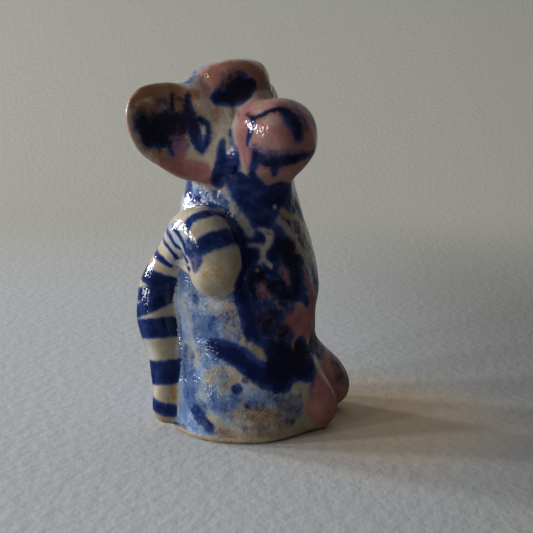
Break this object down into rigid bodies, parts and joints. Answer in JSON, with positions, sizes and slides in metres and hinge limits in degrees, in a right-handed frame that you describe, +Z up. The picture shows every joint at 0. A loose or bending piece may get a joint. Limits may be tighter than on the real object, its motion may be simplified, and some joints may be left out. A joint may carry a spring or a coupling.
{
  "type": "ceramic animal figurine",
  "caption": "Hand-modelled glazed ceramic monkey that sits upright with its head turned up and its ringed tail hooked over one shoulder; a small free-standing shelf ornament.",
  "frame": {"origin": "on the table under the middle of the whole ornament's bounding box", "axes": "+Z up from the foot ring to the crown; the body faces -Y, and its right side, with the tail's hook, is -X"},
  "size_m": [0.0368, 0.039, 0.0693],
  "materials": {
    "body_glaze": "glossy clear glaze over cream clay with cobalt and pale blue brush marks; the foot ring is bare clay",
    "head_glaze": "glossy clear glaze over pink-brown and dark blue brush marks",
    "muzzle_glaze": "glossy clear glaze over pink wash with dark blue lines",
    "ear_glaze": "glossy clear glaze over brown-pink rims and dark blue centres",
    "tail_glaze": "glossy clear glaze over dark blue rings on cream",
    "foot_glaze": "glossy clear glaze over pink wash"
  },
  "bodies": {
    "root": {"body": "body_glaze", "head": "head_glaze", "muzzle": "muzzle_glaze", "ear_right": "ear_glaze", "ear_left": "ear_glaze", "tail": "tail_glaze", "foot_right": "foot_glaze", "foot_left": "foot_glaze"}
  },
  "joints": []
}
